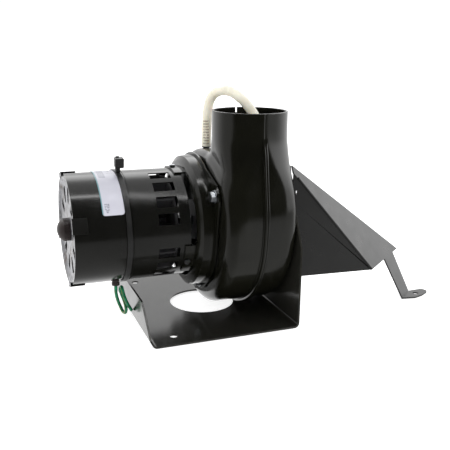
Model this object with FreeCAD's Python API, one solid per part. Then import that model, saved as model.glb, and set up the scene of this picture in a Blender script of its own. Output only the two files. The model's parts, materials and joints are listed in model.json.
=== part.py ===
import FreeCAD, Part
import math
import os

# Combustion fan (induced-draught blower) for a gas furnace.
# Units are millimetres and +Z is up. The origin is the axis of the large round opening in the
# base bracket, on the bracket's underside. +X runs along the motor axis towards the air inlet,
# and the outlet neck points up, on the -Y side of the motor axis.

V = FreeCAD.Vector
os.makedirs("parts", exist_ok=True)

# ---- driving dimensions ------------------------------------------------------------------
SHEET = 1.5            # bracket and housing sheet
TOUCH = 0.05           # gap left between parts of one body that rest on each other
AXIS_Z = 71.5          # height of the motor axis over the bracket's underside

# Base bracket
BASE_X0 = -61.6
BASE_X1 = 52.9
BASE_HALF_Y = 74.0
BEND_R = 4.0
OPENING_R = 25.9
BASE_HOLE_R = 3.0
BASE_HOLE_X = -41.8
BASE_HOLE_Y = 59.6
LOW_FLANGE_H = 24.5
TALL_FLANGE_H = 120.0
FLANGE_BORE_R = 33.0

# Blower housing
HOUSE_X0 = -4.6
HOUSE_X1 = 51.2
SEAM_X = 24.5
SCROLL_R90 = 55.3      # outside radius of the scroll over the axis
SCROLL_GROWTH = 0.0565  # growth of that radius, per degree
SCROLL_START = 96.0
SCROLL_END = 374.0
RIM_FILLET = 8.0
NECK_R = 27.9
NECK_Y = -35.8
NECK_ROUND_Z = 141.0
NECK_TOP_Z = 160.0
SEAM_PROUD = 3.0
SEAM_TOP_Z = 144.0
SEAL_HOLE_R = 12.0
INLET_R = 26.0
INLET_SCREW_R = 38.5
INLET_SCREW_ANGLES = (0.0, 90.0, 180.0, 270.0)
BARB_X = 7.0           # pressure tap on top of the scroll
BARB_Y = 10.2

# Motor
SHELL_R = 41.9         # a 3.3 inch motor
SHELL_WALL = 1.0
SHELL_X0 = -106.8
SHELL_X1 = -22.4
WINDOW_X0 = -46.3
WINDOW_X1 = -30.3
WINDOW_HALF_DEG = 5.75
WINDOW_PLACES = 20     # evenly spaced places for windows, some left closed
WINDOW_GAPS = (4, 9, 14, 19)
WINDOW_FIRST_DEG = 17.0
SHAFT_R = 4.0
BEARING_GAP = 0.05     # radial running clearance
SHAFT_X0 = -102.5
SHAFT_X1 = 27.0
STATOR_X0 = -92.0
STATOR_X1 = -64.0
BORE_R = 22.8
ROTOR_R = 22.2
TIE_X = -68.2
TIE_W = 3.6
TIE_T = 1.2
BEAD_X = -64.6         # raised bead rolled into the shell beside the tie
TIE_RISE = 4.6         # the tie's head stands this far off the shell
LEAD_X = -73.8         # where the ground lead leaves the shell
LEAD_Y = -14.0
LEAD_Z = 28.6
LEAD_NOTCH_Z = 34.4    # top of the notch in the core that clears the lead's grommet

# Adapter plate between motor and housing
CUP_LIP_X = -18.6
PLATE_X = -7.2
PLATE_T = 1.2
PLATE_R = 53.3
LUGS = ((58.0, 30.0), (58.0, 150.0), (49.0, 289.0))  # radius and angle of each lug's screw
TAB_ANGLES = (90.0, 210.0, 330.0)
TAB_HALF_DEG = 18.5
TAB_X0 = -26.8
TAB_SCREW_X = -24.4

# Blower wheel
WHEEL_R = 44.0
WHEEL_X0 = 3.0
WHEEL_X1 = 36.0
BLADES = 28

# Side shield
SHIELD_T = 1.2
SHIELD_Y = -57.0
SHIELD_BEND_DEG = 48.0


# ---- helpers -----------------------------------------------------------------------------
def save(name, shape):
    """Write one sub-part and print what is needed to judge it."""
    solids = len(shape.Solids)
    if solids == 1:
        shape = shape.Solids[0]
    box = shape.optimalBoundingBox()
    print(f"{name:24s} solids {solids} valid {shape.isValid()} volume {shape.Volume:9.1f} "
          f"x {box.XMin:.1f}..{box.XMax:.1f} y {box.YMin:.1f}..{box.YMax:.1f} "
          f"z {box.ZMin:.1f}..{box.ZMax:.1f}")
    shape.exportStep(f"parts/{name}.step")


def at(x, radius, deg):
    """A point round the motor axis: 0 degrees is the front (-Y), 90 is the top."""
    a = math.radians(deg)
    return V(x, -radius * math.cos(a), AXIS_Z + radius * math.sin(a))


def disc(x0, x1, radius, y=0.0, z=AXIS_Z):
    return Part.makeCylinder(radius, x1 - x0, V(x0, y, z), V(1, 0, 0))


def tube(x0, x1, outer, inner):
    return disc(x0, x1, outer).cut(disc(x0 - 1, x1 + 1, inner))


def block(x0, x1, y0, y1, z0, z1):
    return Part.makeBox(x1 - x0, y1 - y0, z1 - z0, V(x0, y0, z0))


def plane_prism(points, along):
    """A flat outline swept along a vector."""
    return Part.Face(Part.makePolygon(points + points[:1])).extrude(along)


def arc_block(x0, x1, inner, outer, mid_deg, half_deg):
    """A piece of a tube round the motor axis, between two angles."""
    a0, a1 = mid_deg - half_deg, mid_deg + half_deg
    edges = [
        Part.Arc(at(x0, outer, a0), at(x0, outer, mid_deg), at(x0, outer, a1)).toShape(),
        Part.makeLine(at(x0, outer, a1), at(x0, inner, a1)),
        Part.Arc(at(x0, inner, a1), at(x0, inner, mid_deg), at(x0, inner, a0)).toShape(),
        Part.makeLine(at(x0, inner, a0), at(x0, outer, a0)),
    ]
    return Part.Face(Part.Wire(edges)).extrude(V(x1 - x0, 0, 0))


def lathe(profile):
    """Turn (x, radius) points round the motor axis."""
    points = [V(x, 0, AXIS_Z + r) for x, r in profile]
    face = Part.Face(Part.makePolygon(points + points[:1]))
    return face.revolve(V(0, 0, AXIS_Z), V(1, 0, 0), 360)


def radial_pin(x, radius, deg, r_in, r_out):
    """A cylinder that stands on the motor axis, pointing outwards."""
    start, end = at(x, r_in, deg), at(x, r_out, deg)
    return Part.makeCylinder(radius, r_out - r_in, start, end.sub(start))


def hex_screw(head_base, direction, across, head_h, washer_r, shank_r, shank_len):
    """A hex washer-head screw. direction points from the head's underside outwards."""
    out = V(direction)
    out.normalize()
    washer = Part.makeCylinder(washer_r, 1.0, head_base, out)
    circle_r = across / math.sqrt(3)
    side = out.cross(V(0.3, 0.2, 1))
    side.normalize()
    other = out.cross(side)
    corners = []
    for i in range(6):
        a = math.radians(60 * i)
        corners.append(head_base.add(side * (circle_r * math.cos(a))
                                     + other * (circle_r * math.sin(a))))
    head = plane_prism(corners, out * (1.0 + head_h))
    shank = Part.makeCylinder(shank_r, shank_len + 0.5, head_base.add(out * 0.5), out * -1)
    return washer.fuse([head, shank]).removeSplitter()


def cord(name, points, radius):
    """A tube along straight runs joined by tangent arcs. Prints radii and length."""
    radii = []
    edges = []
    here = points[0]
    for before, corner, after in zip(points, points[1:], points[2:]):
        back = before.sub(corner)
        ahead = after.sub(corner)
        shorter = min(back.Length, ahead.Length)
        back.normalize()
        ahead.normalize()
        half_turn = (math.pi - back.getAngle(ahead)) / 2
        trim = 0.45 * shorter
        bend = trim / math.tan(half_turn)
        radii.append(round(bend, 1))
        start = corner.add(back * trim)
        end = corner.add(ahead * trim)
        inward = back.add(ahead)
        inward.normalize()
        centre_gap = math.hypot(trim, bend)
        middle = corner.add(inward * (centre_gap - bend))
        edges.append(Part.LineSegment(here, start).toShape())
        edges.append(Part.Arc(start, middle, end).toShape())
        here = end
    edges.append(Part.LineSegment(here, points[-1]).toShape())
    path = Part.Wire(edges)
    first = points[1].sub(points[0])
    section = Part.Wire(Part.Circle(points[0], first, radius).toShape())
    solid = path.makePipeShell([section], True, True)
    expected = math.pi * radius ** 2 * path.Length
    print(f"{name}: length {path.Length:.1f} radii {radii} volume/expected "
          f"{solid.Volume / expected:.3f}")
    return solid


# ---- base bracket ------------------------------------------------------------------------
def base_bracket():
    """One folded sheet: floor, low flange on the motor side, tall flange on the inlet side."""
    outer = block(BASE_X0, BASE_X1, -BASE_HALF_Y, BASE_HALF_Y, 0, TALL_FLANGE_H)
    bends = [e for e in outer.Edges
             if abs(e.BoundBox.YLength - 2 * BASE_HALF_Y) < 0.1 and e.BoundBox.ZMax < 0.1]
    outer = outer.makeFillet(BEND_R, bends)
    inner = block(BASE_X0 + SHEET, BASE_X1 - SHEET, -90, 90, SHEET, 200)
    bends = [e for e in inner.Edges
             if e.BoundBox.YLength > 170 and e.BoundBox.ZMax < SHEET + 0.1]
    inner = inner.makeFillet(BEND_R - SHEET, bends)
    body = outer.cut(inner)
    body = body.cut(block(BASE_X0 - 1, BASE_X0 + 30, -90, 90, LOW_FLANGE_H, 200))
    for side in (-1, 1):
        ramp = [V(BASE_X0 - 1, side * 68.0, 3.0), V(BASE_X0 - 1, side * 43.0, LOW_FLANGE_H + 1),
                V(BASE_X0 - 1, side * 90.0, LOW_FLANGE_H + 1), V(BASE_X0 - 1, side * 90.0, 3.0)]
        body = body.cut(plane_prism(ramp, V(BEND_R + 1, 0, 0)))
        slope = [V(BASE_X1 - 4, side * 74.1, 62.0), V(BASE_X1 - 4, side * 58.0, 92.6),
                 V(BASE_X1 - 4, side * 55.3, 93.0), V(BASE_X1 - 4, side * 55.3, 99.0),
                 V(BASE_X1 - 4, side * 49.0, 121.0), V(BASE_X1 - 4, side * 90.0, 121.0),
                 V(BASE_X1 - 4, side * 90.0, 62.0)]
        body = body.cut(plane_prism(slope, V(8, 0, 0)))
        hole = Part.makeCylinder(BASE_HOLE_R, 10, V(BASE_HOLE_X, side * BASE_HOLE_Y, -2))
        body = body.cut(hole)
    body = body.cut(Part.makeCylinder(OPENING_R, 10, V(0, 0, -2)))
    body = body.cut(disc(BASE_X1 - 5, BASE_X1 + 5, FLANGE_BORE_R))
    for deg in INLET_SCREW_ANGLES:
        centre = at(0, INLET_SCREW_R, deg)
        body = body.cut(disc(BASE_X1 - 5, BASE_X1 + 5, 2.1, centre.y, centre.z))
    for z in SHIELD_SCREW_Z:
        body = body.cut(disc(BASE_X1 - 5, BASE_X1 + 5, 2.1, SHIELD_SCREW_Y, z))
    return body


# ---- blower housing ----------------------------------------------------------------------
def scroll_radius(deg, grow=0.0):
    return SCROLL_R90 + SCROLL_GROWTH * (deg - 90.0) + grow


def scroll_points(x, grow, top_z, lean):
    """The scroll's outline at one x: its spiral, then the front wall up to top_z."""
    spiral = []
    steps = 24
    for i in range(steps + 1):
        deg = SCROLL_START + (SCROLL_END - SCROLL_START) * i / steps
        spiral.append(at(x, scroll_radius(deg, grow), deg))
    front = V(x, -(NECK_R - NECK_Y) - grow - lean, top_z)
    return spiral, front


def scroll_solid(x0, x1, grow, fillet):
    """The snail body: a spiral drum closed under the neck."""
    spiral, front = scroll_points(x0, grow, 116.0, 3.2)
    curve = Part.BSplineCurve()
    curve.interpolate(spiral)
    edges = [curve.toShape(), Part.makeLine(spiral[-1], front),
             Part.makeLine(front, spiral[0])]
    body = Part.Face(Part.Wire(edges)).extrude(V(x1 - x0, 0, 0))
    rims = [e for e in body.Edges if e.BoundBox.XLength < 0.01]
    return body.makeFillet(fillet, rims)


def neck_section(z, x0, x1, y0, y1, corner):
    """A rounded rectangle of eight edges at one height."""
    k = corner * (1 - math.sqrt(0.5))
    spots = [
        (V(x0 + corner, y0, z), V(x1 - corner, y0, z), V(x1 - k, y0 + k, z)),
        (V(x1, y0 + corner, z), V(x1, y1 - corner, z), V(x1 - k, y1 - k, z)),
        (V(x1 - corner, y1, z), V(x0 + corner, y1, z), V(x0 + k, y1 - k, z)),
        (V(x0, y1 - corner, z), V(x0, y0 + corner, z), V(x0 + k, y0 + k, z)),
    ]
    edges = []
    for i, (start, end, mid) in enumerate(spots):
        edges.append(Part.makeLine(start, end))
        edges.append(Part.Arc(end, mid, spots[(i + 1) % 4][0]).toShape())
    return Part.Wire(edges)


def neck_solid(wall):
    """From a rounded box in the scroll's mouth to the round spigot."""
    r = NECK_R - wall
    low = neck_section(96.0, HOUSE_X0 + 0.3 + wall, HOUSE_X1 - 0.3 - wall,
                       -68.6 + wall, -5.0 - wall, 7.0)
    mid = neck_section(120.0, HOUSE_X0 + 0.4 + wall, HOUSE_X1 - 0.4 - wall,
                       -66.2 + wall, -6.6 - wall, 17.0)
    wide = r + 0.3
    high = neck_section(NECK_ROUND_Z, SEAM_X - wide, SEAM_X + wide, NECK_Y - wide,
                        NECK_Y + wide, wide - 2.0)
    body = Part.makeLoft([low, mid, high], True, True)
    top = NECK_TOP_Z - NECK_ROUND_Z + (2.0 if wall else 0.0)
    spigot = Part.makeCylinder(r, top + 1.0, V(SEAM_X, NECK_Y, NECK_ROUND_Z - 1.0))
    return body.fuse(spigot)


def seam_slab(x0, x1):
    """The proud lap of one half, before the cavity is taken out of it."""
    spiral, front = scroll_points(x0, SEAM_PROUD, 124.0, 2.6)
    curve = Part.BSplineCurve()
    curve.interpolate(spiral)
    tip = V(x0, NECK_Y - NECK_R + 0.3, SEAM_TOP_Z)
    shoulder = V(x0, NECK_Y - NECK_R - 2.4, SEAM_TOP_Z - 4.0)
    inner = V(x0, NECK_Y, SEAM_TOP_Z)
    edges = [curve.toShape(), Part.makeLine(spiral[-1], front),
             Part.makeLine(front, shoulder), Part.makeLine(shoulder, tip),
             Part.makeLine(tip, inner), Part.makeLine(inner, spiral[0])]
    return Part.Face(Part.Wire(edges)).extrude(V(x1 - x0, 0, 0))


def housing_halves():
    outer = scroll_solid(HOUSE_X0, HOUSE_X1, 0.0, RIM_FILLET).fuse(neck_solid(0.0))
    cavity = scroll_solid(HOUSE_X0 + SHEET, HOUSE_X1 - SHEET, -SHEET, RIM_FILLET - SHEET)
    cavity = cavity.fuse(neck_solid(SHEET))
    bosses = []
    for radius, deg in LUGS:
        spot = at(0, radius, deg)
        bosses.append(disc(PLATE_X + PLATE_T + TOUCH, HOUSE_X0 + 5.0, 5.0, spot.y, spot.z))
    shell = outer.fuse(bosses).cut(cavity)
    for radius, deg in LUGS:
        spot = at(0, radius, deg)
        shell = shell.cut(disc(PLATE_X, HOUSE_X0 + 6.0, 1.8, spot.y, spot.z))
    notch = block(SEAM_X - 0.8, SEAM_X + 0.8, -15, 0, NECK_TOP_Z - 4, NECK_TOP_Z + 1)
    barb_hole = Part.makeCylinder(2.6, 20, V(BARB_X, BARB_Y, 115))
    shell = shell.cut([disc(HOUSE_X0 - 2, HOUSE_X0 + 3, SEAL_HOLE_R),
                       disc(HOUSE_X1 - 3, HOUSE_X1 + 2, INLET_R + SHEET + 1.3),
                       notch, barb_hole])
    for deg in INLET_SCREW_ANGLES:
        spot = at(0, INLET_SCREW_R, deg)
        shell = shell.cut(disc(HOUSE_X1 - 3, HOUSE_X1 + 2, 1.6, spot.y, spot.z))
    half_gap = 0.02
    far = 400
    left_side = block(-far, SEAM_X - half_gap, -far, far, -far, far)
    right_side = block(SEAM_X + half_gap, far, -far, far, -far, far)
    left = shell.fuse(seam_slab(SEAM_X - SHEET, SEAM_X - half_gap).cut(cavity)).common(left_side)
    right = shell.fuse(seam_slab(SEAM_X + half_gap, SEAM_X + SHEET).cut(cavity))
    right = right.common(right_side)
    return left, right


def inlet_ring():
    """Bell-mouthed ring that leads the flue gas from the flange into the wheel's eye."""
    x = BASE_X1 + TOUCH
    ring = lathe([(x, INLET_R + SHEET), (38.5, INLET_R + SHEET), (38.5, INLET_R),
                  (x + 0.6, INLET_R), (x + SHEET, INLET_R + 1.2), (x + SHEET, 43.5), (x, 43.5)])
    for deg in INLET_SCREW_ANGLES:
        spot = at(0, INLET_SCREW_R, deg)
        ring = ring.cut(disc(x - 2, x + 4, 2.1, spot.y, spot.z))
    return ring


def inlet_screws():
    face = BASE_X1 + 2 * TOUCH + SHEET
    heads = []
    for deg in INLET_SCREW_ANGLES:
        spot = at(face, INLET_SCREW_R, deg)
        heads.append(hex_screw(spot, V(1, 0, 0), 6.3, 2.6, 4.0, 1.55, 7.0))
    return Part.makeCompound(heads)


def shaft_seal():
    """Carbon disc that closes the shaft hole in the housing's motor-side wall."""
    return lathe([(-8.6, SHAFT_R + 0.3), (-8.6, 16.0), (-4.7, 16.0), (-4.7, 11.8),
                  (-3.2, 11.8), (-3.2, SHAFT_R + 0.3)])


# ---- motor adapter -----------------------------------------------------------------------
def adapter_plate():
    """Pressed cup with three lugs for the housing and three tabs over the motor shell."""
    x0, x1 = PLATE_X, PLATE_X + PLATE_T
    cup = lathe([(x0, PLATE_R - 2.0), (x0, PLATE_R), (x1, PLATE_R), (x1, 46.0), (x0, 46.0),
                 (x0, 50.2), (-14.6, 49.6), (CUP_LIP_X + 1.2, 46.6), (CUP_LIP_X + 1.2, 43.4),
                 (CUP_LIP_X, 43.4), (CUP_LIP_X, 46.2), (-15.6, 50.8), (-9.0, 51.6)])
    pieces = []
    for radius, deg in LUGS:
        spot = at(x0, radius, deg)
        ear = disc(x0, x1, 6.2, spot.y, spot.z)
        web = [at(x0, 48.5, deg - 34), at(x0, PLATE_R, deg - 30),
               at(x0, radius + 6.0, deg - 5.5), at(x0, radius + 6.0, deg + 5.5),
               at(x0, PLATE_R, deg + 30), at(x0, 48.5, deg + 34)]
        rib = plane_prism(web, V(x1 - x0, 0, 0)).cut(disc(x0 - 1, x1 + 1, 48.4))
        pieces.extend([ear, rib])
    for deg in TAB_ANGLES:
        pieces.append(arc_block(TAB_X0, CUP_LIP_X + 0.6, SHELL_R + TOUCH, SHELL_R + 1.5, deg,
                                TAB_HALF_DEG))
        pieces.append(arc_block(CUP_LIP_X, CUP_LIP_X + 1.2, SHELL_R + TOUCH, 46.0, deg,
                                TAB_HALF_DEG))
    body = cup.fuse(pieces).removeSplitter()
    for radius, deg in LUGS:
        spot = at(0, radius, deg)
        body = body.cut(disc(x0 - 3, x1 + 3, 2.1, spot.y, spot.z))
    lower = at(0, LUGS[2][0], LUGS[2][1])
    body = body.cut(disc(x0 - 6, x0, 5.4, lower.y, lower.z))
    for deg in TAB_ANGLES:
        body = body.cut(radial_pin(TAB_SCREW_X, 1.7, deg, 40.0, 45.0))
    return body


def adapter_screws():
    heads = []
    for radius, deg in LUGS:
        spot = at(PLATE_X - TOUCH, radius, deg)
        heads.append(hex_screw(spot, V(-1, 0, 0), 7.2, 3.0, 4.9, 1.75, 7.0))
    return Part.makeCompound(heads)


def tab_screws():
    heads = []
    for deg in TAB_ANGLES:
        base = at(TAB_SCREW_X, SHELL_R + 1.5 + TOUCH, deg)
        out = at(0, 1.0, deg).sub(at(0, 0.0, deg))
        head = Part.makeCylinder(2.3, 1.3, base, out)
        shank = Part.makeCylinder(1.4, 4.6, base.add(out * 0.3), out * -1)
        heads.append(head.fuse(shank).removeSplitter())
    return Part.makeCompound(heads)


# ---- motor -------------------------------------------------------------------------------
def motor_shell():
    shell = tube(SHELL_X0, SHELL_X1, SHELL_R, SHELL_R - SHELL_WALL)
    bead = lathe([(BEAD_X - 0.7, SHELL_R - 0.3), (BEAD_X - 0.4, SHELL_R + 0.4),
                  (BEAD_X + 0.4, SHELL_R + 0.4), (BEAD_X + 0.7, SHELL_R - 0.3)])
    shell = shell.fuse(bead)
    cuts = []
    for i in range(WINDOW_PLACES):
        if i in WINDOW_GAPS:
            continue
        deg = WINDOW_FIRST_DEG + 360.0 / WINDOW_PLACES * i
        cuts.append(arc_block(WINDOW_X0, WINDOW_X1, SHELL_R - 3, SHELL_R + 2, deg,
                              WINDOW_HALF_DEG))
    for deg in TAB_ANGLES:
        cuts.append(radial_pin(TAB_SCREW_X, 1.45, deg, 38.0, 44.0))
    cuts.append(Part.makeCylinder(2.7, 12, V(LEAD_X, LEAD_Y, 24)))
    return shell.cut(cuts)


def rear_end_shield():
    """Stamped end disc, dished inwards, with a bearing pocket and four fold-over tabs."""
    x = SHELL_X0
    inside = SHELL_R - SHELL_WALL - TOUCH
    dish = lathe([(x + 0.2, inside), (x + 0.2, 39.2), (x + 1.8, 36.0), (x + 1.8, 8.2),
                  (x + 3.05, 8.2), (x + 3.05, 10.2), (x + 14.2, 10.2), (x + 14.2, 11.4),
                  (x + 3.0, 11.4), (x + 3.0, 36.6), (x + 1.4, 39.8), (x + 1.4, inside)])
    pieces = []
    for i in range(4):
        mid = 17.0 + 90.0 * i
        pieces.append(arc_block(x - 1.1, x + 9.6, SHELL_R + TOUCH, SHELL_R + 1.1, mid, 7.6))
        pieces.append(arc_block(x - 1.1, x - TOUCH, 39.8, SHELL_R + 1.1, mid, 7.6))
        pieces.append(arc_block(x - 1.1, x + 1.0, 39.8, inside, mid, 7.6))
    body = dish.fuse(pieces).removeSplitter()
    slots = []
    for i in range(10):
        slots.append(arc_block(x - 3, x + 5, 21.0, 33.0, 36.0 * i + 8, 6.5))
    return body.cut(slots)


def rear_bearing():
    return tube(SHELL_X0 + 3.2, SHELL_X0 + 13.9, 10.2 - TOUCH, SHAFT_R + BEARING_GAP)


def bearing_cap():
    """Domed rubber plug over the rear bearing."""
    x = SHELL_X0
    base = x + 1.8 - TOUCH
    dome = Part.makeSphere(10.4, V(x + 3.6, 0, AXIS_Z))
    dome = dome.common(disc(base - 20, base, 8.6))
    neck = disc(base - 0.5, x + 2.9, 8.1)
    return dome.fuse(neck).removeSplitter()


def front_bearing_bracket():
    """Three-armed spider that holds the front bearing inside the shell."""
    hub = tube(-60.0, -49.0, 11.4, 10.2)
    rim = tube(-52.6, -50.0, SHELL_R - SHELL_WALL - TOUCH, 36.0)
    arms = []
    for deg in (60.0, 180.0, 300.0):
        arms.append(arc_block(-52.6, -51.0, 10.8, 38.0, deg, 11.0))
    return hub.fuse([rim] + arms).removeSplitter()


def front_bearing():
    return tube(-59.5, -49.5, 10.2 - TOUCH, SHAFT_R + BEARING_GAP)


def stator_core():
    """Laminated ring with twelve open slots."""
    ring = tube(STATOR_X0, STATOR_X1, SHELL_R - SHELL_WALL - TOUCH, BORE_R)
    slots = []
    for i in range(12):
        slots.append(arc_block(STATOR_X0 - 1, STATOR_X1 + 1, 25.5, 34.0, 30.0 * i, 6.5))
        slots.append(arc_block(STATOR_X0 - 1, STATOR_X1 + 1, BORE_R - 1, 26.0, 30.0 * i, 1.6))
    notch = Part.makeCylinder(3.4, LEAD_NOTCH_Z - 20, V(LEAD_X, LEAD_Y, 20))
    return ring.cut(slots + [notch])


def stator_windings():
    """Copper end turns on both sides of the core, joined through its slots."""
    left = tube(STATOR_X0 - 7.5, STATOR_X0 - TOUCH, 35.5, 25.8)
    right = tube(STATOR_X1 + TOUCH, STATOR_X1 + 7.5, 35.5, 25.8)
    rims = []
    for ring, x in ((left, STATOR_X0 - 7.5), (right, STATOR_X1 + 7.5)):
        outer = [e for e in ring.Edges if abs(e.BoundBox.XMin - x) < 0.01
                 and e.BoundBox.XLength < 0.01]
        rims.append(ring.makeFillet(3.0, outer))
    bars = []
    for i in range(12):
        bars.append(arc_block(STATOR_X0 - 1, STATOR_X1 + 1, 26.0, 33.5, 30.0 * i, 5.6))
    return rims[0].fuse([rims[1]] + bars).removeSplitter()


def shaft():
    rod = disc(SHAFT_X0, SHAFT_X1, SHAFT_R)
    flat = block(6.0, SHAFT_X1 + 1, -SHAFT_R - 1, SHAFT_R + 1, AXIS_Z + SHAFT_R - 0.8,
                 AXIS_Z + 10)
    ends = rod.cut(flat)
    tip = [e for e in ends.Edges if abs(e.BoundBox.XMax - SHAFT_X0) < 0.01]
    return ends.makeChamfer(0.5, tip)


def rotor_core():
    return tube(STATOR_X0, STATOR_X1, ROTOR_R, SHAFT_R + TOUCH)


def rotor_end_rings():
    """Cast aluminium rings of the squirrel cage, with their stub blades."""
    rings = []
    for x0, x1 in ((STATOR_X0 - 5.0, STATOR_X0 - TOUCH), (STATOR_X1 + TOUCH, STATOR_X1 + 3.4)):
        rings.append(tube(x0, x1, ROTOR_R - 0.4, 14.0))
    return Part.makeCompound(rings)


def cooling_fan():
    """Moulded fan behind the shell's windows."""
    hub = tube(-47.0, -29.0, 8.0, SHAFT_R + TOUCH)
    plate = tube(-32.0, -30.4, 36.0, 7.0)
    blades = []
    for i in range(11):
        deg = i * 360.0 / 11
        blade = [at(-45.0, 7.5, deg), at(-45.0, 36.8, deg + 7), at(-45.0, 36.8, deg + 9.5),
                 at(-45.0, 7.5, deg + 11)]
        blades.append(plane_prism(blade, V(13.8, 0, 0)))
    return hub.fuse([plate] + blades).removeSplitter()


def zip_tie():
    """Cable tie round the shell, with its head on the top."""
    x0, x1 = TIE_X - TIE_W / 2, TIE_X + TIE_W / 2
    strap = tube(x0, x1, SHELL_R + TIE_T, SHELL_R + TOUCH)
    low = AXIS_Z + SHELL_R
    head = block(TIE_X - 2.4, TIE_X + 4.3, -3.4, 2.8, low + TIE_RISE, low + TIE_RISE + 7.4)
    head = head.makeFillet(0.8, head.Edges)
    risers = [block(x0 + 0.2, x1 - 0.2, y, y + TIE_T, low + 0.4, low + TIE_RISE + 1.5)
              for y in (-1.9, 0.5)]
    tail = block(x0 + 0.5, x1 - 0.5, 0.6, 1.7, low + TIE_RISE + 6.0, low + TIE_RISE + 8.2)
    group = strap.fuse([head, tail] + risers).removeSplitter()
    group.rotate(V(0, 0, AXIS_Z), V(1, 0, 0), 8.0)
    return group


def rating_label():
    paper = arc_block(-86.2, -70.3, SHELL_R + TOUCH, SHELL_R + 0.3, 68.0, 43.0)
    corners = [e for e in paper.Edges if e.Length < 0.4]
    return paper.makeFillet(2.2, corners)


def lead_grommet():
    """Rubber grommet where the ground lead leaves the shell."""
    body = Part.makeCylinder(2.6, 5.0, V(LEAD_X, LEAD_Y, LEAD_Z))
    lip = Part.makeCylinder(3.0, 2.1, V(LEAD_X, LEAD_Y, LEAD_Z))
    return body.fuse(lip).removeSplitter()


GROUND_ROUTE = [
    V(-73.8, -14, 28.6), V(-73.8, -13.2, 24), V(-72.9, -11, 18.4),
    V(-71.2, -8.9, 12.8), V(-69.4, -7.6, 8), V(-68, -9.6, 4.2),
    V(-66.8, -13.8, 4.4), V(-66.6, -16.2, 8.6), V(-67.6, -15.8, 14.6),
    V(-69.4, -14, 20.2), V(-70.5, -12.4, 25), V(-69.6, -15.6, 27.6),
    V(-69.9, -19.7, 26), V(-68.8, -20.6, 20.4), V(-66, -19, 13.4),
    V(-62.8, -16.6, 7.6),
]
GROUND_R = 1.25

HOSE_ROUTE = [
    V(7.0, 10.2, 128.0), V(7.1, 10.2, 143.0), V(7.7, 9.3, 160.0), V(10.7, 3.3, 170.5),
    V(17.2, -8.9, 173.2), V(23.8, -21.0, 167.9), V(28.7, -29.0, 159.4), V(32.7, -34.5, 150.0),
]
HOSE_R = 3.75


def hose_barb():
    """Pressure tap on top of the scroll. The hose stands on its collar."""
    stem = Part.makeCylinder(2.5, 8.0, V(BARB_X, BARB_Y, 121.0))
    collar = Part.makeCylinder(3.7, 1.0, V(BARB_X, BARB_Y, 127.0))
    return stem.fuse(collar).removeSplitter()


# ---- blower wheel ------------------------------------------------------------------------
def wheel_hub():
    hub = tube(2.0, 22.0, 9.5, SHAFT_R + TOUCH)
    flange = tube(WHEEL_X0 + 1.3, WHEEL_X0 + 3.3, 15.0, 8.0)
    body = hub.fuse(flange).removeSplitter()
    return body.cut(radial_pin(15.0, 2.5, 90.0, 0.0, 20.0))


def wheel_set_screw():
    """Headless screw that clamps the hub on the shaft's flat."""
    return radial_pin(15.0, 2.45, 90.0, SHAFT_R - 0.75, 9.3)


def wheel_backplate():
    return tube(WHEEL_X0, WHEEL_X0 + 1.2, WHEEL_R - 1.0, 9.5 + TOUCH)


def wheel_blades():
    """Forward-curved blades between two hoops."""
    x0, x1 = WHEEL_X0 + 1.2 + TOUCH, WHEEL_X1
    hoops = [tube(x0, x0 + 2.0, WHEEL_R, WHEEL_R - 1.0), tube(x1 - 2.5, x1, WHEEL_R, 33.0)]
    blades = []
    for i in range(BLADES):
        deg = i * 360.0 / BLADES
        outer = Part.Arc(at(x0, 33.0, deg), at(x0, 38.0, deg - 1.0),
                         at(x0, WHEEL_R - 0.3, deg + 6.0)).toShape()
        back = Part.Arc(at(x0, WHEEL_R - 0.3, deg + 7.4), at(x0, 38.0, deg + 0.6),
                        at(x0, 33.0, deg + 1.6)).toShape()
        ends = [Part.makeLine(at(x0, WHEEL_R - 0.3, deg + 6.0), at(x0, WHEEL_R - 0.3, deg + 7.4)),
                Part.makeLine(at(x0, 33.0, deg + 1.6), at(x0, 33.0, deg))]
        face = Part.Face(Part.Wire([outer, ends[0], back, ends[1]]))
        blades.append(face.extrude(V(x1 - x0, 0, 0)))
    return hoops[0].fuse([hoops[1]] + blades)


# ---- side shield -------------------------------------------------------------------------
SHIELD_TOP = V(BASE_X1 + 0.8, SHIELD_Y, 113.5)
SHIELD_TIP = V(125.4, SHIELD_Y, 32.8)
SHIELD_SCREW_Y = -50.4
FLAP_EDGE_Y = -44.4
SHIELD_SCREW_Z = (48.0, 84.0)
FOOT_HOLE = V(180.1, -43.9, 0)
FOOT_HOLE_R = 2.4


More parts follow.
